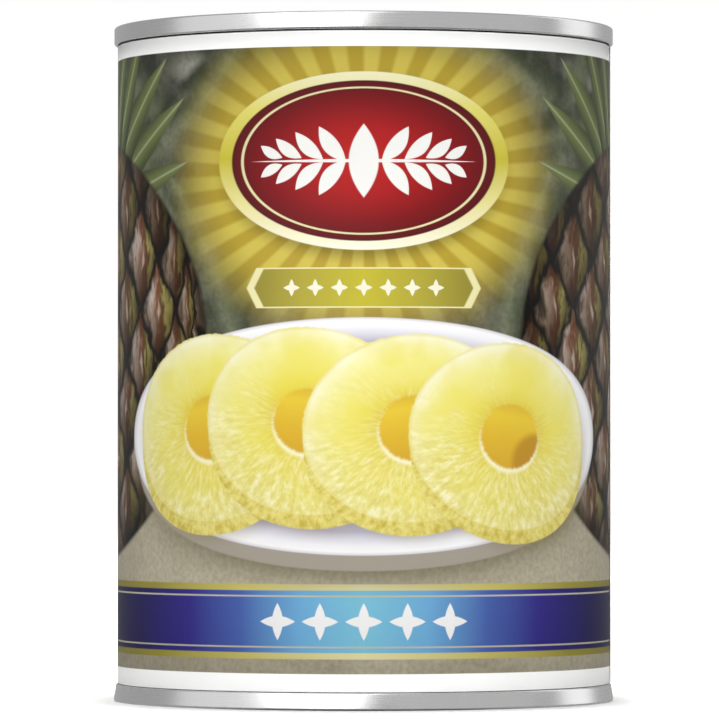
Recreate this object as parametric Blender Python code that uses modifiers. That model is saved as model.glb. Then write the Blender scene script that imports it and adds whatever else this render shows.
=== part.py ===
# A sealed round food can of fruit: a tinplate body with a paper label wrapped round it,
# and a plain sanitary end double-seamed on at the top and at the bottom.
# Metres, +Z up, the front of the label faces -Y, origin on the floor under the axis.

from math import cos, pi, radians, sin, tau

import bmesh
import bpy
from mathutils import Matrix

MM = 0.001

# The whole can.
RIM_RADIUS = 43.65 * MM  # over the double seam: a can end of 3 7/16 inches
CAN_HEIGHT = 117.5 * MM
FIT_GAP = 0.3 * MM  # between pieces that touch in the real can
TURN_STEPS = 72
MERGE_DISTANCE = 0.01 * MM

# The double seam, and the chuck wall that drops inside it to the end panel.
SEAM_HEIGHT = 3.0 * MM
SEAM_WIDTH = 1.4 * MM
SEAM_OUTER_ROUND = 0.55 * MM
SEAM_INNER_ROUND = 0.4 * MM
CHUCK_WALL_LEAN = 0.95 * MM  # how far the wall comes in on its way down
COUNTERSINK_DEPTH = 4.4 * MM
COUNTERSINK_ROUND = 0.55 * MM
PANEL_DEPTH = 3.2 * MM
END_UNDERSIDE_DEPTH = 5.4 * MM
ROUND_STEPS = 3

# Expansion rings pressed into the end panel: the radius of the outer foot, the width and
# the rise of each. A step between them lowers the middle of the panel.
RING_FLANK = 0.5 * MM
OUTER_RING = (36.4 * MM, 3.0 * MM, 0.55 * MM)
PANEL_STEP_RADIUS = 29.6 * MM
PANEL_STEP = 0.5 * MM
INNER_RING = (24.6 * MM, 2.6 * MM, 0.45 * MM)

# The paper label overlaps itself at a glued lap, just round the right-hand side.
LABEL_RADIUS = 43.03 * MM
PAPER_THICKNESS = 0.12 * MM
LAP_GLUE = 0.05 * MM
LABEL_STEP = radians(5)
LAP_START = radians(6)  # from +X towards +Y
LAP_ANGLE = radians(11)
LAP_RAMP = radians(1.2)

BODY_RADIUS = LABEL_RADIUS - PAPER_THICKNESS - FIT_GAP
BODY_WALL = 0.3 * MM

TINPLATE_COLOUR = (0.70, 0.71, 0.72, 1.0)
PAPER_COLOUR = (0.66, 0.60, 0.38, 1.0)


def clear_scene():
    for obj in list(bpy.data.objects):
        bpy.data.objects.remove(obj, do_unlink=True)


def make_collection(name):
    collection = bpy.data.collections.new(name)
    bpy.context.scene.collection.children.link(collection)
    return collection


def make_material(name, colour, roughness, metallic):
    material = bpy.data.materials.new(name)
    material.use_nodes = True
    shader = material.node_tree.nodes["Principled BSDF"]
    shader.inputs["Base Color"].default_value = colour
    shader.inputs["Roughness"].default_value = roughness
    shader.inputs["Metallic"].default_value = metallic
    return material


def arc(centre_x, centre_z, radius, start_degrees, end_degrees, steps):
    """Points along an arc, with 0 degrees pointing away from the axis and 90 up."""
    angles = [
        radians(start_degrees + (end_degrees - start_degrees) * i / steps)
        for i in range(steps + 1)
    ]
    return [(centre_x + radius * cos(a), centre_z + radius * sin(a)) for a in angles]


def profile_mesh(name, profile, material):
    """The half section as a chain of edges in the XZ plane."""
    mesh = bpy.data.meshes.new(name)
    points = [(x, 0.0, z) for x, z in profile]
    edges = [(i, i + 1) for i in range(len(points) - 1)]
    mesh.from_pydata(points, edges, [])
    mesh.materials.append(material)
    return mesh


def turned(name, mesh, collection):
    """A solid turned about Z from a profile that runs from the axis down the outer side."""
    obj = bpy.data.objects.new(name, mesh)
    collection.objects.link(obj)
    screw = obj.modifiers.new("Turn", "SCREW")
    screw.axis = "Z"
    screw.angle = tau
    screw.steps = TURN_STEPS
    screw.render_steps = TURN_STEPS
    screw.use_merge_vertices = True
    screw.merge_threshold = MERGE_DISTANCE
    screw.use_smooth_shade = True
    return obj


def ring_profile(ring, level):
    """A raised ring in the panel, from its inner foot to its outer foot."""
    outer_foot, width, rise = ring
    inner_foot = outer_foot - width
    return [
        (inner_foot, level),
        (inner_foot + RING_FLANK, level + rise),
        (outer_foot - RING_FLANK, level + rise),
        (outer_foot, level),
    ]


def end_profile():
    """Half the section of a can end, with the top of its seam at z = 0."""
    panel = -PANEL_DEPTH
    centre_panel = panel - PANEL_STEP
    chuck_top = RIM_RADIUS - SEAM_WIDTH
    sink_x = chuck_top - CHUCK_WALL_LEAN - COUNTERSINK_ROUND
    sink_z = COUNTERSINK_ROUND - COUNTERSINK_DEPTH
    panel_edge = sink_x - COUNTERSINK_ROUND
    skirt = BODY_RADIUS - BODY_WALL - FIT_GAP

    profile = [(0.0, centre_panel)]
    profile += ring_profile(INNER_RING, centre_panel)
    profile += [
        (PANEL_STEP_RADIUS, centre_panel),
        (PANEL_STEP_RADIUS + RING_FLANK, panel),
    ]
    profile += ring_profile(OUTER_RING, panel)
    # The panel's shoulder drops into the countersink, which turns up into the chuck wall.
    profile += [(panel_edge - RING_FLANK, panel), (panel_edge, panel - RING_FLANK)]
    profile += arc(sink_x, sink_z, COUNTERSINK_ROUND, 180, 360, ROUND_STEPS + 1)
    inner, outer = SEAM_INNER_ROUND, SEAM_OUTER_ROUND
    profile += arc(chuck_top + inner, -inner, inner, 180, 90, ROUND_STEPS)
    profile += arc(RIM_RADIUS - outer, -outer, outer, 90, 0, ROUND_STEPS)
    # Under the seam the skirt goes down inside the body's wall.
    profile += [
        (RIM_RADIUS, -SEAM_HEIGHT),
        (skirt, -SEAM_HEIGHT),
        (skirt, -END_UNDERSIDE_DEPTH),
        (0.0, -END_UNDERSIDE_DEPTH),
    ]
    return profile


def body_profile():
    """Half the section of the body: solid, with a thin wall that rises round each end."""
    wall_foot = SEAM_HEIGHT + FIT_GAP
    wall_top = CAN_HEIGHT - wall_foot
    fill_foot = END_UNDERSIDE_DEPTH + FIT_GAP
    fill_top = CAN_HEIGHT - fill_foot
    wall_inside = BODY_RADIUS - BODY_WALL
    return [
        (0.0, fill_top),
        (wall_inside, fill_top),
        (wall_inside, wall_top),
        (BODY_RADIUS, wall_top),
        (BODY_RADIUS, wall_foot),
        (wall_inside, wall_foot),
        (wall_inside, fill_foot),
        (0.0, fill_foot),
    ]


def build_ends(material, collection):
    """The top end, and the same piece turned over at the foot of the can."""
    mesh = profile_mesh("can_end", end_profile(), material)
    top = turned("top_end", mesh, collection)
    top.location.z = CAN_HEIGHT
    bottom = turned("bottom_end", mesh, collection)
    bottom.rotation_euler.x = pi


def build_body(material, collection):
    turned("can_body", profile_mesh("can_body", body_profile(), material), collection)


def label_rows():
    """Angle and radius along the paper, from its start under the lap to its end on top."""
    inside = LABEL_RADIUS - PAPER_THICKNESS
    lapped = inside + PAPER_THICKNESS + LAP_GLUE
    steps = round(tau / LABEL_STEP)
    under = [(i * LABEL_STEP, inside) for i in range(steps)] + [(tau - LAP_RAMP, inside)]
    over = [(tau + LAP_ANGLE * share, lapped) for share in (0.0, 0.5, 1.0)]
    return under + over


def build_label(material, collection):
    """The paper as one strip, bent round the body and lapped over its own start."""
    foot = SEAM_HEIGHT + FIT_GAP
    strip = bmesh.new()
    row = []
    for angle, radius in label_rows():
        turn = LAP_START + angle
        row.append(strip.verts.new((radius * cos(turn), radius * sin(turn), foot)))
    edges = [strip.edges.new(pair) for pair in zip(row, row[1:])]
    raised = bmesh.ops.extrude_edge_only(strip, edges=edges)["geom"]
    upper = [item for item in raised if isinstance(item, bmesh.types.BMVert)]
    lift = Matrix.Translation((0, 0, CAN_HEIGHT - 2 * foot))
    bmesh.ops.transform(strip, matrix=lift, verts=upper)
    bmesh.ops.recalc_face_normals(strip, faces=strip.faces)

    mesh = bpy.data.meshes.new("label")
    strip.to_mesh(mesh)
    strip.free()
    mesh.shade_smooth()
    mesh.materials.append(material)
    label = bpy.data.objects.new("label", mesh)
    collection.objects.link(label)
    paper = label.modifiers.new("Paper", "SOLIDIFY")
    paper.thickness = PAPER_THICKNESS
    paper.offset = 1.0
    paper.use_even_offset = True
    paper.use_rim = True


def main():
    clear_scene()
    can = make_collection("food_can")
    tinplate = make_material("tinplate", TINPLATE_COLOUR, 0.28, 1.0)
    paper = make_material("coated_paper", PAPER_COLOUR, 0.45, 0.0)
    build_body(tinplate, can)
    build_ends(tinplate, can)
    build_label(paper, can)


main()
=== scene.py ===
import math

import bpy
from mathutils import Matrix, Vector


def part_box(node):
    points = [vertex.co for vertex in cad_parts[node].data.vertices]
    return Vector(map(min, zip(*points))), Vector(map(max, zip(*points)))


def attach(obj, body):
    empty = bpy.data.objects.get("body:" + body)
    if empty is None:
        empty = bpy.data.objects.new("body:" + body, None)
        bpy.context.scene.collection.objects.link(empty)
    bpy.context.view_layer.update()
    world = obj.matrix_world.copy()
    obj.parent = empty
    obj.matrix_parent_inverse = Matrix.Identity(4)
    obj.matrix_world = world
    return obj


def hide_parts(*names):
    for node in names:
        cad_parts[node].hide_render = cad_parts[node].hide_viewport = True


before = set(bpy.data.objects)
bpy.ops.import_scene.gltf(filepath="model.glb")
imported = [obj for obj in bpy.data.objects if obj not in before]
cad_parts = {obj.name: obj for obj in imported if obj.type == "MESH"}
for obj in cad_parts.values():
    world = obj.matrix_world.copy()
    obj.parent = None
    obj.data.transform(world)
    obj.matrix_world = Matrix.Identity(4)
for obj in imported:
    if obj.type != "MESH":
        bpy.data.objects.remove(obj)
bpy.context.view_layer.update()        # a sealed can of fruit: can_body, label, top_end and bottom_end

mm = 0.001
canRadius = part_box("top_end")[1].x / mm  # over the seam
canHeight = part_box("top_end")[1].z / mm
mergeGap = 0.002 * mm  # points nearer to each other are merged
sharpAngle = math.radians(32)  # edges that turn further stay sharp


# Small helpers

def linear(hexColour):
    shares = [int(hexColour[i:i + 2], 16) / 255 for i in (1, 3, 5)]
    return (*[s / 12.92 if s <= 0.04045 else ((s + 0.055) / 1.055) ** 2.4 for s in shares], 1.0)


def patternScale(size):
    # a texture's scale on a piece in metres, from the pattern's size in millimetres
    return 1 / (size * mm)


def addNode(tree, kind, inputs=None, stops=(), **settings):
    # inputs: socket name or number -> a node, one of its sockets, a hex colour or a plain value
    node = tree.nodes.new("ShaderNode" + kind)
    for name, value in settings.items():
        setattr(node, name, value)
    for number, (position, colour) in enumerate(stops):
        elements = node.color_ramp.elements
        stop = elements[number] if number < 2 else elements.new(position)
        stop.position = position
        stop.color = linear(colour)
    for socket, source in (inputs or {}).items():
        if isinstance(source, bpy.types.Node):
            source = source.outputs[0]
        if isinstance(source, bpy.types.NodeSocket):
            tree.links.new(source, node.inputs[socket])
        elif isinstance(source, str):
            node.inputs[socket].default_value = linear(source)
        else:
            node.inputs[socket].default_value = source
    return node


def newMaterial(name):
    material = bpy.data.materials.new(name)
    material.use_nodes = True
    material.node_tree.nodes.clear()
    return material, material.node_tree


def roundPoints(centreRadius, centreHeight, radius, startDegrees, endDegrees, steps=8):
    # 0 degrees points away from the can's axis and 90 points up
    sweep = endDegrees - startDegrees
    turns = [math.radians(startDegrees + sweep * i / steps) for i in range(steps + 1)]
    return [
        (centreRadius + radius * math.cos(t), centreHeight + radius * math.sin(t)) for t in turns
    ]


def easedStep(startRadius, endRadius, startHeight, endHeight, steps=8):
    shares = [i / steps for i in range(steps + 1)]
    return [
        (
            startRadius + (endRadius - startRadius) * s,
            startHeight + (endHeight - startHeight) * (3 - 2 * s) * s * s,
        )
        for s in shares
    ]


def turnPiece(name, profile, segments):
    # a disc is the first cap, and it is carried along the profile ring by ring to be the last
    radius, height = profile[0]
    bpy.ops.object.select_all(action="DESELECT")
    bpy.ops.mesh.primitive_circle_add(
        vertices=segments, radius=radius * mm, fill_type="NGON", location=(0, 0, height * mm)
    )
    piece = bpy.context.object
    piece.name = piece.data.name = name
    bpy.ops.object.transform_apply(location=True, rotation=True, scale=True)
    bpy.ops.object.mode_set(mode="EDIT")
    for (radius, height), (nextRadius, nextHeight) in zip(profile, profile[1:]):
        bpy.ops.mesh.extrude_region_move(
            TRANSFORM_OT_translate={"value": (0, 0, (nextHeight - height) * mm)}
        )
        share = nextRadius / radius
        bpy.ops.transform.resize(value=(share, share, 1), center_override=(0, 0, nextHeight * mm))
    bpy.ops.mesh.select_all(action="SELECT")
    bpy.ops.mesh.remove_doubles(threshold=mergeGap)
    bpy.ops.mesh.normals_make_consistent(inside=False)
    bpy.ops.object.mode_set(mode="OBJECT")
    bpy.ops.object.shade_smooth_by_angle(angle=sharpAngle)
    return piece


def dress(piece, node, slot, *materials):
    piece.data.materials.clear()
    for material in materials:
        piece.data.materials.append(material)
    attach(piece, "root")
    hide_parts(node)


# Camera: 1.01 m in front, a little below the middle of the can and tipped up by a degree.
# Its lens is in millimetres too.

camera = {"distance": 1011.8, "height": 43.4, "left": 0.72, "pitch": 0.917, "lens": 289.2}


def placeCamera():
    data = bpy.data.cameras.new("productLens")
    data.lens = camera["lens"]
    data.sensor_width = 36
    data.clip_end = 20
    eye = bpy.data.objects.new("productLens", data)
    eye.location = (-camera["left"] * mm, -camera["distance"] * mm, camera["height"] * mm)
    eye.rotation_euler = (math.radians(90 + camera["pitch"]), 0, 0)
    bpy.context.scene.collection.objects.link(eye)
    bpy.context.scene.camera = eye


placeCamera()
print("camera placed")


# Can end: plate pressed with two raised rings, a countersink and a chuck wall, and rolled
# over the body's edge in a double seam

canEnd = {
    "seamHeight": 3.0,
    "seamWidth": 1.4,
    "seamTopRound": 0.42,
    "seamInnerRound": 0.4,
    "seamLowerRound": 0.36,
    "bottomSeamFlare": 0.3,  # the lower seam is wider at its foot
    "hookRadius": 42.95,  # the rolled edge stops just short of the body
    "hookRise": 2.2,
    "chuckWallLean": 0.95,
    "countersinkDepth": 4.4,
    "countersinkRound": 0.55,
    "panelDepth": 3.2,
    "shoulderRound": 0.5,
    "plate": 0.22,
    "outerRing": (36.4, 3.0, 0.55),  # outer foot, width and rise
    "innerRing": (24.6, 2.6, 0.45),
    "flankShare": 0.42,  # of a ring's width, on each side of its crown
    "panelStep": (29.6, 0.9, 0.5),  # inner foot, width and rise
    "segments": 288,
}


def raisedRing(ring, level):
    outerFoot, width, rise = ring
    innerFoot = outerFoot - width
    flank = canEnd["flankShare"] * width
    return [
        *easedStep(innerFoot, innerFoot + flank, level, level + rise),
        *easedStep(outerFoot - flank, outerFoot, level + rise, level),
    ]


def endProfile(flare=0.0):
    end = canEnd
    panel = canHeight - end["panelDepth"]
    stepFoot, stepWidth, stepRise = end["panelStep"]
    centre = panel - stepRise
    chuckTop = canRadius - end["seamWidth"]
    sink = end["countersinkRound"]
    sinkRadius = chuckTop - end["chuckWallLean"] - sink
    sinkHeight = canHeight - end["countersinkDepth"] + sink
    shoulder = end["shoulderRound"]
    inner, outer, lower = end["seamInnerRound"], end["seamTopRound"], end["seamLowerRound"]
    seamFoot = canHeight - end["seamHeight"]
    hook, hookTop = end["hookRadius"], seamFoot + end["hookRise"]
    plate = end["plate"]
    return [
        # up out of the flat middle of the panel to the countersink
        *raisedRing(end["innerRing"], centre),
        *easedStep(stepFoot, stepFoot + stepWidth, centre, panel),
        *raisedRing(end["outerRing"], panel),
        *roundPoints(sinkRadius - sink - shoulder, panel - shoulder, shoulder, 90, 0),
        *roundPoints(sinkRadius, sinkHeight, sink, 180, 360, 14),
        # over the seam and in under it
        *roundPoints(chuckTop + inner, canHeight - inner, inner, 180, 90),
        *roundPoints(canRadius - outer, canHeight - outer, outer, 90, 0, 12),
        *roundPoints(canRadius - flare - lower, seamFoot + lower, lower, 0, -90),
        (hook, seamFoot),
        (hook, hookTop),
        (chuckTop + plate, hookTop),
        # the plate's other face
        *roundPoints(sinkRadius, sinkHeight, sink + plate, 0, -180, 10),
        (sinkRadius - sink - plate, panel - shoulder),
        (sinkRadius - sink - shoulder, panel - plate),
        (stepFoot + stepWidth, panel - plate),
        (stepFoot, centre - plate),
    ]


def buildEnds(material):
    top = turnPiece("topEnd", endProfile(), canEnd["segments"])
    dress(top, "top_end", "tinplate", material)
    flared = endProfile(canEnd["bottomSeamFlare"])
    turnedOver = [(radius, canHeight - height) for radius, height in flared]
    bottom = turnPiece("bottomEnd", turnedOver, canEnd["segments"])
    dress(bottom, "bottom_end", "tinplate", material)


# Body: the welded cylinder, full to its ends, with its wall standing up into both seams

canBody = {"radius": 42.85, "plate": 0.2, "fillFoot": 5.7, "wallFoot": 0.9, "segments": 288}


def buildBody(material):
    outside = canBody["radius"]
    inside = outside - canBody["plate"]
    fillFoot, wallFoot = canBody["fillFoot"], canBody["wallFoot"]
    profile = [
        (inside, canHeight - fillFoot),
        (inside, canHeight - wallFoot),
        (outside, canHeight - wallFoot),
        (outside, wallFoot),
        (inside, wallFoot),
        (inside, fillFoot),
    ]
    body = turnPiece("canBody", profile, canBody["segments"])
    dress(body, "can_body", "tinplate", material)


# Label: one strip of paper wrapped round and glued over its own start

paperLabel = {
    "inside": 42.91,
    "paper": 0.12,
    "glue": 0.05,
    "foot": 3.1,  # from the can's lower end up to the paper
    "head": 3.28,  # and from its upper end down to it
    "columns": 360,  # faces round the can
    "lapStart": 6.0,  # degrees from +X towards the back
    "lapAngle": 11.0,
    "rampAngle": 1.2,
    "rampSteps": 6,
    "edgeLift": 0.05,  # the free edge stands off a little
}


def spinOn(degrees, steps, grow=1.0):
    bpy.ops.mesh.spin(steps=steps, angle=math.radians(degrees), center=(0, 0, 0), axis=(0, 0, 1))
    bpy.ops.transform.resize(value=(grow, grow, 1), center_override=(0, 0, 0))


def startStrip(column):
    # the sheet's first upright face, with its leading edge selected
    strip = paperLabel
    first = math.radians(strip["lapStart"] + column / 2)
    half = math.radians(column / 2)
    chordRadius = strip["inside"] * math.cos(half)
    tall = canHeight - strip["foot"] - strip["head"]
    middle = strip["foot"] + tall / 2
    bpy.ops.object.select_all(action="DESELECT")
    bpy.ops.mesh.primitive_plane_add(
        size=1,
        location=(
            chordRadius * math.cos(first) * mm,
            chordRadius * math.sin(first) * mm,
            middle * mm,
        ),
        rotation=(math.pi / 2, 0, first + math.pi / 2),
    )
    label = bpy.context.object
    label.name = label.data.name = "paperLabel"
    label.scale = (2 * strip["inside"] * math.sin(half) * mm, tall * mm, 1)
    bpy.ops.object.transform_apply(location=True, rotation=True, scale=True)
    for vertex in label.data.vertices:
        vertex.select = math.atan2(vertex.co.y, vertex.co.x) > first
    for edge in label.data.edges:
        edge.select = all(label.data.vertices[v].select for v in edge.vertices)
    for face in label.data.polygons:
        face.select = False
    return label


def windStrip(column):
    # the leading edge goes once round the can, up a ramp and on over the start
    strip = paperLabel
    flatSweep = 360 - column - strip["rampAngle"]
    spinOn(flatSweep, round(flatSweep / column))
    radius = strip["inside"]
    for step in range(1, strip["rampSteps"] + 1):
        share = step / strip["rampSteps"]
        rise = (strip["paper"] + strip["glue"]) * share * share * (3 - 2 * share)
        nextRadius = strip["inside"] + rise
        spinOn(strip["rampAngle"] / strip["rampSteps"], 1, nextRadius / radius)
        radius = nextRadius
    lapSweep = strip["lapAngle"] - column
    spinOn(lapSweep, round(lapSweep / column))
    spinOn(column, 1, (radius + strip["edgeLift"]) / radius)


def buildLabel(printed, bare):
    column = 360 / paperLabel["columns"]
    label = startStrip(column)
    bpy.ops.object.mode_set(mode="EDIT")
    bpy.ops.mesh.select_mode(type="EDGE")
    windStrip(column)
    bpy.ops.mesh.select_all(action="SELECT")
    bpy.ops.mesh.remove_doubles(threshold=mergeGap)
    bpy.ops.mesh.normals_make_consistent(inside=False)
    bpy.ops.object.mode_set(mode="OBJECT")
    if label.data.polygons[0].normal.dot(label.data.polygons[0].center) < 0:
        label.data.flip_normals()
    bpy.ops.object.shade_smooth_by_angle(angle=sharpAngle)
    paper = label.modifiers.new("paper", "SOLIDIFY")
    paper.thickness = paperLabel["paper"] * mm
    paper.offset = 1
    paper.use_even_offset = True
    paper.material_offset = 1
    paper.material_offset_rim = 1
    dress(label, "label", "label_paper", printed, bare)
    bpy.ops.object.modifier_apply(modifier="paper")


# Tinplate: cold-rolled steel strip with a flow-brightened coat of tin, pressed, and rolled
# into the seams. The eye sees a bright satin metal, with straight rolling lines across the
# ends and fine lines round the seams.

tinplate = {
    "colour": "#cbcbcb",
    "roughness": (0.25, 0.29),
    "lineLength": 24.0,
    "lineWidth": 0.22,
    "wallShare": 0.3,  # upright, straight lines come at this share of their rate on the flat
    "seamLine": 0.16,
    "seamRadius": 40.0,  # lines run round outside it and straight inside it
    "blotch": 9.0,
    "mixRange": (0.75, 1.25),
    "lineStrength": 0.03,
    "lineDepth": 0.004,
}


def makeTinplate():
    tin = tinplate
    material, tree = newMaterial("tinplateRolled")
    place = addNode(tree, "TexCoord").outputs["Object"]
    length, width = tin["lineLength"] * mm, tin["lineWidth"] * mm
    rates = (1 / length, 1 / width, tin["wallShare"] / width)
    along = addNode(tree, "VectorMath", {0: place, 1: rates}, operation="MULTIPLY")
    straight = addNode(
        tree, "TexNoise", {"Vector": along, "Scale": 1.0, "Detail": 3.0, "Roughness": 0.6}
    )
    flat = addNode(tree, "VectorMath", {0: place, 1: (1, 1, 0)}, operation="MULTIPLY")
    radius = addNode(tree, "VectorMath", {0: flat}, operation="LENGTH").outputs["Value"]
    height = addNode(tree, "SeparateXYZ", {0: place}).outputs["Z"]
    section = addNode(tree, "CombineXYZ", {"X": radius, "Y": height})
    rolled = addNode(
        tree,
        "TexNoise",
        {"Vector": section, "Scale": patternScale(tin["seamLine"]), "Detail": 2.0},
        noise_dimensions="2D",
    )
    edge = tin["seamRadius"] * mm
    outside = addNode(tree, "Math", {0: radius, 1: edge}, operation="GREATER_THAN")
    lines = addNode(tree, "Mix", {0: outside, 2: straight, 3: rolled}, data_type="FLOAT").outputs[0]
    blotches = addNode(
        tree, "TexNoise", {"Vector": place, "Scale": patternScale(tin["blotch"]), "Detail": 2.0}
    )
    mixed = addNode(tree, "Math", {0: lines, 1: blotches}, operation="ADD")
    least, most = tin["mixRange"]
    low, high = tin["roughness"]
    roughness = addNode(
        tree,
        "MapRange",
        {"Value": mixed, "From Min": least, "From Max": most, "To Min": low, "To Max": high},
    )
    bump = addNode(
        tree,
        "Bump",
        {"Height": lines, "Strength": tin["lineStrength"], "Distance": tin["lineDepth"] * mm},
    )
    shader = addNode(
        tree,
        "BsdfPrincipled",
        {"Base Color": tin["colour"], "Metallic": 1.0, "Roughness": roughness, "Normal": bump},
    )
    addNode(tree, "OutputMaterial", {"Surface": shader})
    return material


# Body plate between the label and the seams: the same strip, coloured near-black as painted
# shade for the shadow under the seams. In a gap this narrow the eye sees a dark line.

# near-black tones, a little mottled: painted shade for the shadow in the gap under the seams
seamShadePlate = {"shadeMottle": 3.0, "tones": [(0.3, "#2e2f30"), (0.7, "#3c3d3e")], "roughness": 0.5}


def makeSeamShadePlate():
    material, tree = newMaterial("tinplateSeamShade")
    place = addNode(tree, "TexCoord").outputs["Object"]
    shadeMottles = addNode(tree, "TexNoise", {"Vector": place, "Scale": patternScale(seamShadePlate["shadeMottle"])})
    # the colour is painted shade, not the tin's own colour
    colour = addNode(tree, "ValToRGB", {0: shadeMottles}, stops=seamShadePlate["tones"])
    shader = addNode(
        tree,
        "BsdfPrincipled",
        {"Base Color": colour, "Metallic": 1.0, "Roughness": seamShadePlate["roughness"]},
    )
    addNode(tree, "OutputMaterial", {"Surface": shader})
    return material


# Bare label paper: uncoated wood-free sheet, seen at the cut edges and inside the lap

barePaper = {
    "fibre": 0.5,
    "fibreStrength": 0.1,
    "fibreDepth": 0.02,
    "tones": [(0.3, "#e6e3dc"), (0.7, "#f6f4ef")],
    "roughness": 0.8,
}


def makeBarePaper():
    bare = barePaper
    material, tree = newMaterial("labelPaperBare")
    place = addNode(tree, "TexCoord").outputs["Object"]
    fibres = addNode(
        tree, "TexNoise", {"Vector": place, "Scale": patternScale(bare["fibre"]), "Detail": 3.0}
    )
    colour = addNode(tree, "ValToRGB", {0: fibres}, stops=bare["tones"])
    bump = addNode(
        tree,
        "Bump",
        {"Height": fibres, "Strength": bare["fibreStrength"], "Distance": bare["fibreDepth"] * mm},
    )
    shader = addNode(
        tree,
        "BsdfPrincipled",
        {"Base Color": colour, "Roughness": bare["roughness"], "Normal": bump},
    )
    addNode(tree, "OutputMaterial", {"Surface": shader})
    return material


# Printed label paper: coated sheet, four-colour offset with a thin varnish. It shows as a
# smooth half-matt picture with a white border. The design is drawn in millimetres on the
# wrapped sheet, and the whole of it comes twice round the can.

labelPrint = {
    "radius": 43.0,
    "artFoot": 6.12,  # up from the can's lower end
    "artTop": 111.57,
    "paperWhite": "#fbfbfa",
    "inkOnPaper": "#d4d4d4",  # inks take a little from the paper's white
    "edgeBlur": 0.15,
    "roughness": 0.5,
    "varnish": 0.1,
    "cockle": 11.0,  # the sheet is never quite flat
    "cockleStrength": 0.3,
    "cockleDepth": 0.05,
}


def shapeOn(tree, sheet, centre, size, degrees=0.0):
    # how far across and up a place lies in a turned shape: 0 in its middle, 1 at its edge
    turn = math.radians(degrees)
    wide, tall = size
    moved = addNode(tree, "VectorMath", {0: sheet, 1: (*centre, 0)}, operation="SUBTRACT")
    axes = (
        (math.cos(turn) / wide, math.sin(turn) / wide, 0),
        (-math.sin(turn) / tall, math.cos(turn) / tall, 0),
    )
    return [
        addNode(tree, "VectorMath", {0: moved, 1: axis}, operation="DOT_PRODUCT").outputs["Value"]
        for axis in axes
    ]


def ovalOn(tree, sheet, centre, size, degrees=0.0):
    # a shape with its reach, which is 1 at the oval's edge
    across, up = shapeOn(tree, sheet, centre, size, degrees)
    spot = addNode(tree, "CombineXYZ", {"X": across, "Y": up})
    reach = addNode(tree, "VectorMath", {0: spot}, operation="LENGTH").outputs["Value"]
    return across, up, reach


def printInside(tree, under, ink, reach, edge=1.0, blur=0.02, strength=1.0):
    # the ink lies where the reach is less than the edge
    outer, inner = edge + blur / 2, edge - blur / 2
    mask = addNode(
        tree,
        "MapRange",
        {"Value": reach, "From Min": outer, "From Max": inner, "To Max": strength},
        interpolation_type="SMOOTHSTEP",
    )
    return addNode(tree, "Mix", {0: mask, 6: under, 7: ink}, data_type="RGBA").outputs[2]


def printOval(tree, under, ink, sheet, centre, size, degrees=0.0, blur=0.02, strength=1.0):
    reach = ovalOn(tree, sheet, centre, size, degrees)[2]
    return printInside(tree, under, ink, reach, 1 - blur / 2, blur, strength)


def printCopy(tree, under, sheet, centre, size, copy, degrees=0.0):
    # an oval like another, moved and grown, in its own ink: a shadow, or an edge that shows
    moved = [own + step for own, step in zip(centre, copy["moved"])]
    grown = [own * share for own, share in zip(size, copy["grown"])]
    blur, strength = copy["blur"], copy["strength"]
    return printOval(tree, under, copy["ink"], sheet, moved, grown, degrees, blur, strength)


def shadeWith(tree, colour, value, tones):
    # multiply by a tone picked by the value
    tone = addNode(tree, "ValToRGB", {0: value}, stops=tones)
    factors = {0: 1.0, 6: colour, 7: tone}
    return addNode(tree, "Mix", factors, data_type="RGBA", blend_type="MULTIPLY").outputs[2]


def printLeaf(tree, under, sheet, centre, halfSize, degrees, ink, bend=0.0, blur=0.12):
    # a long shape with two pointed ends, bent sideways by a share of its width. The ink is
    # one colour, or tones from the spine out to the edge.
    across, up = shapeOn(tree, sheet, centre, halfSize, degrees)
    along = addNode(tree, "Math", {0: up, 1: up}, operation="MULTIPLY")
    bent = addNode(tree, "Math", {0: along, 1: bend, 2: across}, operation="MULTIPLY_ADD")
    aside = addNode(tree, "Math", {0: bent}, operation="ABSOLUTE")
    outline = addNode(tree, "Math", {0: aside, 1: along}, operation="ADD")
    if not isinstance(ink, str):
        ink = addNode(tree, "ValToRGB", {0: aside}, stops=ink)
    return printInside(tree, under, ink, outline, 1.0, blur)


def sheetPlaces(tree, place):
    # the sheet's own millimetres: round from the middle of a face, and up from the floor.
    # The second place starts from where two faces meet.
    axes = addNode(tree, "SeparateXYZ", {0: place})
    forward = addNode(tree, "Math", {0: axes.outputs["Y"], 1: -1.0}, operation="MULTIPLY")
    angle = addNode(tree, "Math", {0: axes.outputs["X"], 1: forward}, operation="ARCTAN2")
    around = addNode(tree, "Math", {0: angle, 1: labelPrint["radius"]}, operation="MULTIPLY")
    height = addNode(tree, "Math", {0: axes.outputs["Z"], 1: 1 / mm}, operation="MULTIPLY")
    quarter = math.pi / 2 * labelPrint["radius"]
    onward = addNode(tree, "Math", {0: around, 1: quarter}, operation="ADD")
    places = []
    for source in (around, onward):
        wrapped = addNode(tree, "Math", {0: source, 1: quarter, 2: -quarter}, operation="WRAP")
        places.append(addNode(tree, "CombineXYZ", {"X": wrapped, "Y": height}))
    return height, places[0], places[1]


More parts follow.
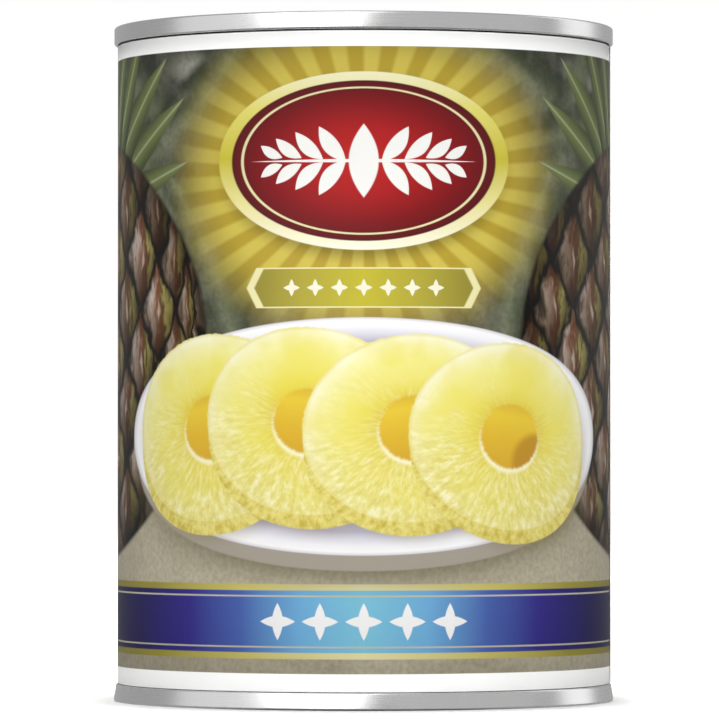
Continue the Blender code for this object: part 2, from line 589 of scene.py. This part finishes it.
ground = {
    "cloud": 26.0,
    "cloudPush": 0.36,  # how far clouds push the tones up and down
    "mottle": 5.0,
    "mottleInk": "#d5cfba",
    "mottleEdge": (0.47, 0.3, 0.14),  # level, blur and strength
    "weave": 0.8,
    "weaveTones": [(0.3, "#e2e2e2"), (0.7, "#ffffff")],
    "tones": [  # from the foot of the picture to its top
        (0.00, "#b4ab94"),
        (0.12, "#c8c0a8"),
        (0.28, "#b8b096"),
        (0.42, "#8f886a"),
        (0.54, "#625f45"),
        (0.74, "#464a3b"),
        (1.00, "#353930"),
    ],
    "sky": ("#c6c5b6", 0.8, 0.6),  # ink, blur and strength
    "gaps": [  # where it shows between the leaves: middle, half size and turn
        ((-49, 99), (13, 5.5), 24),
        ((-38, 77), (6, 12), -22),
        ((-31, 108), (9, 4), -10),
        ((47, 105), (12, 4.5), -30),
        ((35, 79), (4.5, 9), 12),
    ],
    "leaves": [  # middle, half width and length, degrees from upright and bend
        ((-52, 106), (6.5, 22), 72, 0.5),
        ((-44, 90), (7.0, 24), 40, -0.6),
        ((-33, 100), (6.0, 20), -52, 0.7),
        ((-27, 74), (6.0, 19), 24, 0.5),
        ((30, 106), (6.5, 22), 62, 0.5),
        ((38, 92), (7.5, 24), -32, 0.7),
        ((28, 75), (6.0, 19), -18, -0.5),
        ((52, 100), (6.5, 18), -72, 0.4),
    ],
    "leafTones": [(0.0, "#6a7157"), (0.4, "#4a513e"), (1.0, "#2c3027")],
    "leafBlur": 0.34,
}


def printGround(tree, place, height, face):
    cloudScale = patternScale(ground["cloud"])
    cloud = addNode(tree, "TexNoise", {"Vector": place, "Scale": cloudScale, "Detail": 2.0})
    level = addNode(
        tree,
        "MapRange",
        {"Value": height, "From Min": labelPrint["artFoot"], "From Max": labelPrint["artTop"]},
    )
    push = ground["cloudPush"]
    drift = addNode(tree, "Math", {0: cloud, 1: push, 2: level}, operation="MULTIPLY_ADD")
    wavy = addNode(tree, "Math", {0: drift, 1: push / 2}, operation="SUBTRACT")
    colour = addNode(tree, "ValToRGB", {0: wavy}, stops=ground["tones"]).outputs[0]
    sky, blur, strength = ground["sky"]
    for centre, size, degrees in ground["gaps"]:
        colour = printOval(tree, colour, sky, face, centre, size, degrees, blur, strength)
    tones, blur = ground["leafTones"], ground["leafBlur"]
    for centre, size, degrees, bend in ground["leaves"]:
        colour = printLeaf(tree, colour, face, centre, size, degrees, tones, bend, blur)
    mottleScale = patternScale(ground["mottle"])
    mottle = addNode(tree, "TexNoise", {"Vector": place, "Scale": mottleScale, "Detail": 4.0})
    colour = printInside(tree, colour, ground["mottleInk"], mottle, *ground["mottleEdge"])
    weaveScale = patternScale(ground["weave"])
    weave = addNode(tree, "TexNoise", {"Vector": place, "Scale": weaveScale, "Detail": 2.0})
    return shadeWith(tree, colour, weave, ground["weaveTones"])


goldRays = {
    "centre": (0, 90),
    "size": (40, 31),
    "count": 30.0,
    "softness": 0.5,
    "tones": [(0.0, "#bda437"), (1.0, "#d8c556")],
    "edge": (0.80, 0.36, 0.95),  # where they end, their blur and strength
}


def printRays(tree, under, sheet):
    across, up, reach = ovalOn(tree, sheet, goldRays["centre"], goldRays["size"])
    turn = addNode(tree, "Math", {0: across, 1: up}, operation="ARCTAN2")
    spokes = addNode(tree, "Math", {0: turn, 1: goldRays["count"]}, operation="MULTIPLY")
    wave = addNode(tree, "Math", {0: spokes}, operation="SINE")
    soft = goldRays["softness"]
    beam = addNode(
        tree,
        "MapRange",
        {"Value": wave, "From Min": -soft, "From Max": soft},
        interpolation_type="SMOOTHSTEP",
    )
    rays = addNode(tree, "ValToRGB", {0: beam}, stops=goldRays["tones"])
    return printInside(tree, under, rays, reach, *goldRays["edge"])


wholeFruit = {
    "centre": (0, 61),
    "size": (39, 36),
    "scalesAcross": 2.4,  # scales in a radian round the fruit
    "scalesUp": 2.1,  # and in half its height
    "wander": ((6.0, 0.12), (5.0, 0.10)),  # how long and how far rows stray across and up
    "streaks": (1.3, 3.6),  # width and length
    "leaves": [  # middle, half width and length, degrees from upright and bend
        ((5, 86), (4.0, 30), -84, 0.9),
        ((5, 88), (4.4, 32), -70, 1.1),
        ((4, 90), (4.6, 32), -57, 0.8),
        ((4, 92), (4.4, 30), -43, 1.0),
        ((3, 94), (4.2, 28), -28, 0.5),
        ((0, 95), (4.0, 25), -10, 0.2),
    ],
    "leafTones": [
        (0.00, "#a3ab86"),
        (0.08, "#6f7949"),
        (0.50, "#4a5433"),
        (0.85, "#2c3320"),
        (1.00, "#151912"),
    ],
    "leafBlur": 0.1,
    "acrossRange": (-0.4, 1.35),  # what the streaks and the place in a scale add up to
    "acrossTones": [  # from the left of a scale to its right
        (0.00, "#2e2622"),
        (0.16, "#857a73"),
        (0.30, "#d2c4bd"),
        (0.42, "#a98f82"),
        (0.52, "#8a563c"),
        (0.62, "#6f5839"),
        (0.74, "#b5ae6c"),
        (0.88, "#7f7a4a"),
        (1.00, "#26241a"),
    ],
    "upRange": (-0.3, 1.2),
    "upStreaks": 0.9,  # how far streaks move the tones up a scale
    "upTones": [(0.0, "#6f665b"), (0.4, "#cbc3b7"), (0.72, "#ffffff"), (1.0, "#cfc8bd")],
    "numberStep": 7.13,  # gives each pair of row numbers a tone of its own
    "ownTones": [(0.0, "#bdb7ad"), (1.0, "#ffffff")],
    "tipNarrowing": (4.5, 1.6),  # across and up
    "tipInk": "#d8cabc",
    "tipEdge": (0.34, 0.5, 0.6),  # reach, blur and strength
    "grooveWander": 0.16,
    "grooveInk": "#0f0c09",
    "grooveEdge": (-0.52, 0.1, 0.97),
    "roundTones": [(0.0, "#ffffff"), (0.7, "#fbf8f2"), (0.9, "#cdc5b7"), (1.0, "#6f6656")],
    "edge": (1.0, 0.03),  # the fruit's own, and its blur
}


def scaleRows(tree, place, across, up):
    # rows of scales wind both ways, closer together towards the fruit's sides. Each way gives
    # a scale's number, and how far a place lies from its middle, with and without a sign.
    strayed = []
    for axis, (length, push) in zip((across, up), wholeFruit["wander"]):
        wander = addNode(
            tree, "TexNoise", {"Vector": place, "Scale": patternScale(length), "Detail": 2.0}
        )
        strayed.append(addNode(tree, "Math", {0: wander, 1: push, 2: axis}, operation="MULTIPLY_ADD"))
    swing = addNode(tree, "Math", {0: strayed[0]}, operation="ARCSINE")
    rate = wholeFruit["scalesAcross"]
    sideways = addNode(tree, "Math", {0: swing, 1: rate}, operation="MULTIPLY")
    rate = wholeFruit["scalesUp"]
    upward = addNode(tree, "Math", {0: strayed[1], 1: rate}, operation="MULTIPLY")
    numbers = []
    shares = []
    sides = []
    for winding in ("ADD", "SUBTRACT"):
        rows = addNode(tree, "Math", {0: sideways, 1: upward}, operation=winding)
        numbers.append(addNode(tree, "Math", {0: rows}, operation="FLOOR"))
        share = addNode(tree, "Math", {0: rows}, operation="FRACT")
        shares.append(addNode(tree, "Math", {0: share, 1: 0.5}, operation="SUBTRACT"))
        sides.append(addNode(tree, "Math", {0: shares[-1]}, operation="ABSOLUTE"))
    return numbers, shares, sides


def fruitRind(tree, place, across, up, reach):
    fruit = wholeFruit
    numbers, shares, sides = scaleRows(tree, place, across, up)
    inScale = addNode(tree, "Math", {0: shares[0], 1: shares[1]}, operation="ADD")
    upScale = addNode(tree, "Math", {0: shares[0], 1: shares[1]}, operation="SUBTRACT")
    width, length = fruit["streaks"]
    rates = (patternScale(width), patternScale(width), patternScale(length))
    stretched = addNode(tree, "Mapping", {"Vector": place, "Scale": rates})
    streaks = addNode(
        tree, "TexNoise", {"Vector": stretched, "Scale": 1.0, "Detail": 4.0, "Distortion": 0.8}
    )
    shifted = addNode(tree, "Math", {0: streaks, 1: inScale}, operation="ADD")
    least, most = fruit["acrossRange"]
    share = addNode(tree, "MapRange", {"Value": shifted, "From Min": least, "From Max": most})
    rind = addNode(tree, "ValToRGB", {0: share}, stops=fruit["acrossTones"]).outputs[0]
    ragged = addNode(
        tree, "Math", {0: streaks, 1: fruit["upStreaks"], 2: upScale}, operation="MULTIPLY_ADD"
    )
    least, most = fruit["upRange"]
    rise = addNode(tree, "MapRange", {"Value": ragged, "From Min": least, "From Max": most})
    rind = shadeWith(tree, rind, rise, fruit["upTones"])
    # each scale has a tone of its own
    pair = {0: numbers[0], 1: fruit["numberStep"], 2: numbers[1]}
    mixed = addNode(tree, "Math", pair, operation="MULTIPLY_ADD")
    own = addNode(tree, "TexWhiteNoise", {"W": mixed}, noise_dimensions="1D").outputs["Value"]
    rind = shadeWith(tree, rind, own, fruit["ownTones"])
    # a pale dry tip in the middle of each scale, and a dark groove round it
    tipAcross = addNode(tree, "Math", {0: inScale}, operation="ABSOLUTE")
    narrowAcross, narrowUp = fruit["tipNarrowing"]
    tipWide = addNode(tree, "Math", {0: tipAcross, 1: narrowAcross}, operation="MULTIPLY")
    tipUp = addNode(tree, "Math", {0: upScale}, operation="ABSOLUTE")
    tip = addNode(tree, "Math", {0: tipUp, 1: narrowUp, 2: tipWide}, operation="MULTIPLY_ADD")
    rind = printInside(tree, rind, fruit["tipInk"], tip, *fruit["tipEdge"])
    border = addNode(tree, "Math", {0: sides[0], 1: sides[1]}, operation="MAXIMUM")
    wander = {0: streaks, 1: fruit["grooveWander"], 2: border}
    roughBorder = addNode(tree, "Math", wander, operation="MULTIPLY_ADD")
    groove = addNode(tree, "Math", {0: roughBorder, 1: -1.0}, operation="MULTIPLY")
    rind = printInside(tree, rind, fruit["grooveInk"], groove, *fruit["grooveEdge"])
    return shadeWith(tree, rind, reach, fruit["roundTones"])


def printWholeFruit(tree, under, place, sheet, halves):
    colour = under
    tones, blur = wholeFruit["leafTones"], wholeFruit["leafBlur"]
    for middle, halfSize, degrees, bend in wholeFruit["leaves"]:
        colour = printLeaf(tree, colour, halves, middle, halfSize, degrees, tones, bend, blur)
    across, up, reach = ovalOn(tree, sheet, wholeFruit["centre"], wholeFruit["size"])
    rind = fruitRind(tree, place, across, up, reach)
    return printInside(tree, colour, rind, reach, *wholeFruit["edge"])


medallion = {
    "centre": (0, 92.3),
    "size": (26.0, 15.0),
    "shadow": {
        "ink": "#4f4620",
        "moved": (0, -1.2),
        "grown": (1.08, 1.12),
        "blur": 0.2,
        "strength": 0.6,
    },
    "rim": 0.9,
    "rimBlur": 0.014,
    "lines": (0.83, 0.81),
    "lineInk": "#efe6b4",
    "lineBlur": 0.01,
    "gold": [
        (0.00, "#fffbe6"),
        (0.28, "#efe69a"),
        (0.52, "#cfc33f"),
        (0.80, "#ece27a"),
        (1.00, "#fbf7cf"),
    ],
    "red": [(0.0, "#c3241f"), (0.36, "#ae1f20"), (0.66, "#82191d"), (0.9, "#571a1d")],
    "white": "#fbfaf6",
    "stem": (0.28, 19.5),  # half width and length
    "middleLeaf": (2.5, 6.2),
    "leafBend": 0.3,
    "leaves": [  # place from the middle, half width and length, degrees from upright
        ((5.6, 2.6), (1.35, 3.7), -38),
        ((9.5, 2.3), (1.2, 3.3), -46),
        ((13.0, 1.9), (1.05, 2.8), -54),
        ((16.0, 1.4), (0.85, 2.2), -62),
    ],
}


def printMedallion(tree, under, sheet):
    centre, size = medallion["centre"], medallion["size"]
    colour = printCopy(tree, under, sheet, centre, size, medallion["shadow"])
    _, up, reach = ovalOn(tree, sheet, centre, size)
    slope = addNode(tree, "MapRange", {"Value": up, "From Min": -1.0, "From Max": 1.0})
    gold = addNode(tree, "ValToRGB", {0: slope}, stops=medallion["gold"])
    colour = printInside(tree, colour, gold, reach, 1.0, medallion["rimBlur"])
    red = addNode(tree, "ValToRGB", {0: reach}, stops=medallion["red"])
    colour = printInside(tree, colour, red, reach, medallion["rim"], medallion["rimBlur"])
    for ink, edge in zip((medallion["lineInk"], red), medallion["lines"]):
        colour = printInside(tree, colour, ink, reach, edge, medallion["lineBlur"])
    # a spray of leaves on a stem, the same in all four quarters
    moved = addNode(tree, "VectorMath", {0: sheet, 1: (*centre, 0)}, operation="SUBTRACT")
    quarters = addNode(tree, "VectorMath", {0: moved}, operation="ABSOLUTE")
    white, bend = medallion["white"], medallion["leafBend"]
    colour = printLeaf(tree, colour, quarters, (0, 0), medallion["stem"], 90, white)
    colour = printLeaf(tree, colour, quarters, (0, 0), medallion["middleLeaf"], 0, white)
    for middle, halfSize, degrees in medallion["leaves"]:
        colour = printLeaf(tree, colour, quarters, middle, halfSize, degrees, white, bend)
    return colour


def printFlowerRow(tree, under, sheet, centre, spacing, halfLength, petal, ink):
    # four-petalled flowers side by side, over a set length
    across, up = shapeOn(tree, sheet, centre, (1, 1))
    inRow = addNode(tree, "Math", {0: across, 1: spacing / 2, 2: -spacing / 2}, operation="WRAP")
    repeated = addNode(tree, "CombineXYZ", {"X": inRow, "Y": up})
    colour = under
    for degrees in (0, 90):
        colour = printLeaf(tree, colour, repeated, (0, 0), petal, degrees, ink, blur=0.2)
    away = addNode(tree, "Math", {0: across}, operation="ABSOLUTE")
    beyond = addNode(tree, "Math", {0: away, 1: -1.0}, operation="MULTIPLY")
    return printInside(tree, colour, under, beyond, -halfLength, 0.02)


def foldedBar(tree, sheet, centre, halfSize):
    # how far out a place lies along a bar and up it, the same on both sides of its middle
    return [
        addNode(tree, "Math", {0: axis}, operation="ABSOLUTE")
        for axis in shapeOn(tree, sheet, centre, halfSize)
    ]


goldBar = {
    "centre": (0, 71.0),
    "size": (20.5, 3.4),
    "point": 0.09,  # how far each end draws in from its middle to its corners
    "edgeInk": "#efe9b0",
    "inside": 0.93,
    "tones": [(0.0, "#c6bb36"), (0.5, "#b3a83f"), (1.0, "#8f8538")],
    "flowers": (4.1, 14.4, (0.5, 1.45), "#f7f3dc"),  # spacing, half length, petal and ink
}


def printGoldBar(tree, under, sheet):
    along, upward = foldedBar(tree, sheet, goldBar["centre"], goldBar["size"])
    pointed = addNode(
        tree, "Math", {0: upward, 1: goldBar["point"], 2: along}, operation="MULTIPLY_ADD"
    )
    outline = addNode(tree, "Math", {0: pointed, 1: upward}, operation="MAXIMUM")
    colour = printInside(tree, under, goldBar["edgeInk"], outline)
    ink = addNode(tree, "ValToRGB", {0: along}, stops=goldBar["tones"])
    colour = printInside(tree, colour, ink, outline, goldBar["inside"])
    return printFlowerRow(tree, colour, sheet, goldBar["centre"], *goldBar["flowers"])


blueBelt = {
    "centre": (0, 14.9),
    "size": (67.5, 6.3),
    "blue": [
        (0.0, "#84cbe4"),
        (0.16, "#74b4e2"),
        (0.32, "#4e68b4"),
        (0.48, "#37308e"),
        (0.70, "#211a60"),
        (1.0, "#120f3c"),
    ],
    "gold": [(0.0, "#efe8b4"), (0.3, "#d2c772"), (0.6, "#a39a3c"), (1.0, "#8c8331")],
    "lineInk": "#cfcbb0",
    "edges": (1.0, 0.83, 0.70, 0.66),  # gold, blue, a thin line and blue again
    "blur": 0.03,
    "flowers": (7.4, 18.5, (0.95, 3.1), "#ffffff"),
}


def printBelt(tree, under, face):
    along, upward = foldedBar(tree, face, blueBelt["centre"], blueBelt["size"])
    blue = addNode(tree, "ValToRGB", {0: along}, stops=blueBelt["blue"])
    gold = addNode(tree, "ValToRGB", {0: along}, stops=blueBelt["gold"])
    colour = under
    for ink, edge in zip((gold, blue, blueBelt["lineInk"], blue), blueBelt["edges"]):
        colour = printInside(tree, colour, ink, upward, edge, blueBelt["blur"])
    return printFlowerRow(tree, colour, face, blueBelt["centre"], *blueBelt["flowers"])


platter = {
    "centre": (0, 46),
    "size": (50, 20),
    "shadow": {
        "ink": "#5f573d",
        "moved": (0, -5),
        "grown": (1.1, 1.16),
        "blur": 0.34,
        "strength": 0.8,
    },
    "side": {
        "ink": "#aaa295",
        "moved": (0, -2.8),
        "grown": (0.98, 1.0),
        "blur": 0.02,
        "strength": 1.0,
    },
    "edge": (1.0, 0.014),  # where the china ends, and its blur
    "tones": [  # from the middle out to the rim
        (0.0, "#cfccda"),
        (0.60, "#c9c6d5"),
        (0.80, "#bdbacb"),
        (0.87, "#e1dfe8"),
        (0.92, "#f6f5f9"),
        (0.97, "#ffffff"),
        (1.0, "#dcd9e0"),
    ],
}


def printPlatter(tree, under, sheet):
    centre, size = platter["centre"], platter["size"]
    colour = printCopy(tree, under, sheet, centre, size, platter["shadow"])
    colour = printCopy(tree, colour, sheet, centre, size, platter["side"])
    reach = ovalOn(tree, sheet, centre, size)[2]
    china = addNode(tree, "ValToRGB", {0: reach}, stops=platter["tones"])
    return printInside(tree, colour, china, reach, *platter["edge"])


slices = {
    "size": (19.0, 15.8),
    "thickness": 2.5,
    "places": [  # middle and turn, from the rearmost slice to the front one
        ((-27.5, 47.5), 8),
        ((-9.5, 48.6), -5),
        ((8.5, 47.4), 6),
        ((26.5, 46.0), -8),
    ],
    "shadow": {
        "ink": "#83702b",
        "moved": (1.2, -3),
        "grown": (1.09, 1.12),
        "blur": 0.28,
        "strength": 0.62,
    },
    "strands": 16.0,
    "strandChange": 0.55,  # how much the strands change from the core to the edge
    "edgeWander": 0.05,
    "edge": (1.025, 0.02),
    "juicePatch": 8.0,
    "juiceInk": "#eadd50",
    "juiceEdge": (0.48, 0.3, 0.5),  # level, blur and strength
    "juiceHides": -2.0,  # how much it hides the threads
    "threadEdge": (-1.1, 1.6, 0.8),
    "hole": (6.2, 5.6),
    "holeWander": 0.14,
    "holeEdge": (1.04, 0.12),
    "lip": {
        "ink": "#fdfad4",
        "moved": (-0.1, -0.7),
        "grown": (1.06, 1.06),
        "blur": 0.14,
        "strength": 0.8,
    },
    "behind": {
        "ink": "#b98627",
        "moved": (5.6, -4.4),
        "grown": (1.0, 1.0),
        "blur": 0.3,
        "strength": 0.8,
    },
    "flesh": [  # from the core out to the edge
        (0.33, "#dfc53e"),
        (0.42, "#e9da5c"),
        (0.55, "#f0e67e"),
        (0.74, "#f4ee93"),
        (0.88, "#f7f3b4"),
        (0.96, "#fbf9d8"),
        (1.00, "#eee6a8"),
    ],
    "threads": [(0.36, "#dccb66"), (0.50, "#eadf80"), (0.66, "#f8f4c8")],
    "rim": [(0.36, "#cdb84c"), (0.60, "#ece084")],
    "hollow": [(0.0, "#d8aa30"), (0.4, "#dfb733"), (0.8, "#e8c83c"), (1.0, "#dcb838")],
}


def sliceFibres(tree, across, up, reach, seed):
    # fibres run out from the core in short strands
    spot = addNode(tree, "CombineXYZ", {"X": across, "Y": up})
    away = addNode(tree, "VectorMath", {0: spot}, operation="NORMALIZE")
    change = {0: reach, 1: slices["strandChange"], 2: seed}
    drift = addNode(tree, "Math", change, operation="MULTIPLY_ADD")
    return addNode(
        tree,
        "TexNoise",
        {"Vector": away, "W": drift, "Scale": slices["strands"], "Detail": 4.0, "Roughness": 0.6},
        noise_dimensions="4D",
    )


def sliceFlesh(tree, juice, fibres, up, reach):
    flesh = addNode(tree, "ValToRGB", {0: reach}, stops=slices["flesh"]).outputs[0]
    flesh = printInside(tree, flesh, slices["juiceInk"], juice, *slices["juiceEdge"])
    # the strands show where the flesh is drier, and most in its lower half
    threads = addNode(tree, "ValToRGB", {0: fibres}, stops=slices["threads"])
    wetness = {0: juice, 1: slices["juiceHides"], 2: up}
    dryness = addNode(tree, "Math", wetness, operation="MULTIPLY_ADD")
    return printInside(tree, flesh, threads, dryness, *slices["threadEdge"])


def printHole(tree, under, sheet, fibres, centre, degrees):
    # the core's hole: its lower lip in the light, its wall, and the deeper flesh behind
    size = slices["hole"]
    colour = printCopy(tree, under, sheet, centre, size, slices["lip"], degrees)
    _, depth, opening = ovalOn(tree, sheet, centre, size, degrees)
    rise = addNode(tree, "MapRange", {"Value": depth, "From Min": -1.0, "From Max": 1.0})
    wall = addNode(tree, "ValToRGB", {0: rise}, stops=slices["hollow"])
    deep = printCopy(tree, wall, sheet, centre, size, slices["behind"], degrees)
    wander = {0: fibres, 1: slices["holeWander"], 2: opening}
    roughOpening = addNode(tree, "Math", wander, operation="MULTIPLY_ADD")
    return printInside(tree, colour, deep, roughOpening, *slices["holeEdge"])


def printSlice(tree, under, juice, sheet, centre, degrees, seed):
    size = slices["size"]
    colour = printCopy(tree, under, sheet, centre, size, slices["shadow"], degrees)
    across, up, reach = ovalOn(tree, sheet, centre, size, degrees)
    fibres = sliceFibres(tree, across, up, reach, seed)
    cut = addNode(tree, "ValToRGB", {0: fibres}, stops=slices["rim"])
    lowered = (centre[0], centre[1] - slices["thickness"])
    colour = printOval(tree, colour, cut, sheet, lowered, size, degrees)
    flesh = sliceFlesh(tree, juice, fibres, up, reach)
    wander = {0: fibres, 1: slices["edgeWander"], 2: reach}
    outline = addNode(tree, "Math", wander, operation="MULTIPLY_ADD")
    colour = printInside(tree, colour, flesh, outline, *slices["edge"])
    return printHole(tree, colour, sheet, fibres, centre, degrees)


def printSlices(tree, under, place, face):
    juice = addNode(tree, "TexNoise", {"Vector": place, "Scale": patternScale(slices["juicePatch"])})
    colour = under
    for seed, (centre, degrees) in enumerate(slices["places"]):
        colour = printSlice(tree, colour, juice, face, centre, degrees, float(seed))
    return colour


def makePrintedPaper():
    material, tree = newMaterial("labelPaperPrinted")
    place = addNode(tree, "TexCoord").outputs["Object"]
    height, face, join = sheetPlaces(tree, place)
    joinHalves = addNode(tree, "VectorMath", {0: join}, operation="ABSOLUTE")
    colour = printGround(tree, place, height, face)
    colour = printRays(tree, colour, face)
    colour = printWholeFruit(tree, colour, place, join, joinHalves)
    colour = printMedallion(tree, colour, face)
    colour = printGoldBar(tree, colour, face)
    colour = printBelt(tree, colour, face)
    colour = printPlatter(tree, colour, face)
    colour = printSlices(tree, colour, place, face)
    onPaper = {0: 1.0, 6: colour, 7: labelPrint["inkOnPaper"]}
    colour = addNode(tree, "Mix", onPaper, data_type="RGBA", blend_type="MULTIPLY").outputs[2]
    artHalf = (labelPrint["artTop"] - labelPrint["artFoot"]) / 2
    artMiddle = labelPrint["artFoot"] + artHalf
    fromMiddle = addNode(tree, "Math", {0: height, 1: artMiddle}, operation="SUBTRACT")
    away = addNode(tree, "Math", {0: fromMiddle}, operation="ABSOLUTE")
    white, blur = labelPrint["paperWhite"], labelPrint["edgeBlur"]
    colour = printInside(tree, white, colour, away, artHalf, blur)
    cockleScale = patternScale(labelPrint["cockle"])
    cockle = addNode(tree, "TexNoise", {"Vector": place, "Scale": cockleScale, "Detail": 1.0})
    strength, depth = labelPrint["cockleStrength"], labelPrint["cockleDepth"] * mm
    bump = addNode(tree, "Bump", {"Height": cockle, "Strength": strength, "Distance": depth})
    shader = addNode(
        tree,
        "BsdfPrincipled",
        {
            "Base Color": colour,
            "Roughness": labelPrint["roughness"],
            "Specular IOR Level": labelPrint["varnish"],
            "Normal": bump,
        },
    )
    addNode(tree, "OutputMaterial", {"Surface": shader})
    return material


buildEnds(makeTinplate())
buildBody(makeSeamShadePlate())
print("tinplate ends and body turned")
buildLabel(makePrintedPaper(), makeBarePaper())
print("label wrapped")


# Studio: a pale floor that melts into white air. Metal sees grey air that is dark far down,
# and its own softboxes. Paper is lit from the front, the top and behind. Sizes are in metres.

studio = {
    "floor": "#f6f6f5",
    "floorRadius": 6.0,
    "floorSides": 96,
    "floorFade": (0.044, 0.064),  # how far from the can's axis its glow starts and is full
    "hazeOnPaper": 0.25,  # the share of that glow that lights the can
    "airOnPaper": 0.12,
    "airInMetal": [(0.06, "#1c1c1c"), (0.13, "#bcbcbc"), (0.90, "#bcbcbc"), (1.0, "#e6e6e6")],
    "aim": (0, 0, 0.06),
    # name, degrees right of the camera and up, distance, width, height, watts, what it lights
    "softboxes": [
        ("keyBox", -22.6, 28, 1.2, 1.08, 1.7, 14.4, "metal"),
        ("keyWing", -70, 14, 1.2, 1.1, 1.5, 3.0, "metal"),
        ("faceWing", 50, 14, 1.2, 1.9, 1.7, 2.3, "metal"),
        ("sideBox", 115, 14, 1.2, 0.6, 1.5, 2.9, "metal"),
        ("frontBox", 0, 6, 1.6, 0.9, 0.9, 31.5, "paper"),
        ("topBox", 0, 89, 1.5, 1.3, 1.3, 16.0, "paper"),
        ("backBox", 180, 42, 1.6, 1.0, 1.0, 15.0, "paper"),
    ],
}


def layFloor():
    bpy.ops.object.select_all(action="DESELECT")
    bpy.ops.mesh.primitive_circle_add(
        vertices=studio["floorSides"],
        radius=studio["floorRadius"],
        fill_type="NGON",
        location=(0, 0, 0),
    )
    floor = bpy.context.object
    floor.name = "paleFloor"
    floor.visible_glossy = False
    material, tree = newMaterial("paintedFloor")
    paint = addNode(tree, "BsdfDiffuse", {"Color": studio["floor"]})
    place = addNode(tree, "TexCoord").outputs["Object"]
    away = addNode(tree, "VectorMath", {0: place}, operation="LENGTH").outputs["Value"]
    near, far = studio["floorFade"]
    fade = addNode(
        tree,
        "MapRange",
        {"Value": away, "From Min": near, "From Max": far},
        interpolation_type="SMOOTHSTEP",
    )
    seen = addNode(tree, "LightPath").outputs["Is Camera Ray"]
    share = addNode(tree, "Math", {0: seen, 1: studio["hazeOnPaper"]}, operation="MAXIMUM")
    strength = addNode(tree, "Math", {0: fade, 1: share}, operation="MULTIPLY")
    haze = addNode(tree, "Emission", {"Strength": strength})
    both = addNode(tree, "AddShader", {0: paint, 1: haze})
    addNode(tree, "OutputMaterial", {"Surface": both})
    floor.data.materials.append(material)


def lightStudio():
    aim = Vector(studio["aim"])
    for name, degrees, rise, distance, width, height, watts, lights in studio["softboxes"]:
        data = bpy.data.lights.new(name, "AREA")
        data.shape = "RECTANGLE"
        data.size = width
        data.size_y = height
        data.energy = watts
        turn, lift = math.radians(degrees), math.radians(rise)
        level = math.cos(lift)
        away = Vector((math.sin(turn) * level, -math.cos(turn) * level, math.sin(lift)))
        box = bpy.data.objects.new(name, data)
        box.location = aim + away * distance
        box.rotation_euler = (-away).to_track_quat("-Z", "Y").to_euler()
        box.visible_camera = False
        box.visible_diffuse = lights != "metal"
        box.visible_glossy = lights != "paper"
        bpy.context.scene.collection.objects.link(box)


def paintWorld():
    world = bpy.data.worlds.new("studioAir")
    bpy.context.scene.world = world
    world.use_nodes = True
    tree = world.node_tree
    tree.nodes.clear()
    ray = addNode(tree, "LightPath").outputs
    least = studio["airOnPaper"]
    strength = addNode(tree, "Math", {0: ray["Is Camera Ray"], 1: least}, operation="MAXIMUM")
    air = addNode(tree, "Background", {"Color": "#ffffff", "Strength": strength})
    direction = addNode(tree, "TexCoord").outputs["Generated"]
    upward = addNode(tree, "SeparateXYZ", {0: direction}).outputs["Z"]
    level = addNode(tree, "MapRange", {"Value": upward, "From Min": -1.0, "From Max": 1.0})
    grey = addNode(tree, "ValToRGB", {0: level}, stops=studio["airInMetal"])
    mirrored = addNode(tree, "Background", {"Color": grey, "Strength": 1.0})
    both = addNode(tree, "MixShader", {0: ray["Is Glossy Ray"], 1: air, 2: mirrored})
    addNode(tree, "OutputWorld", {"Surface": both})


layFloor()
lightStudio()
paintWorld()
bpy.context.scene.view_settings.view_transform = "Standard"
print("studio lit")
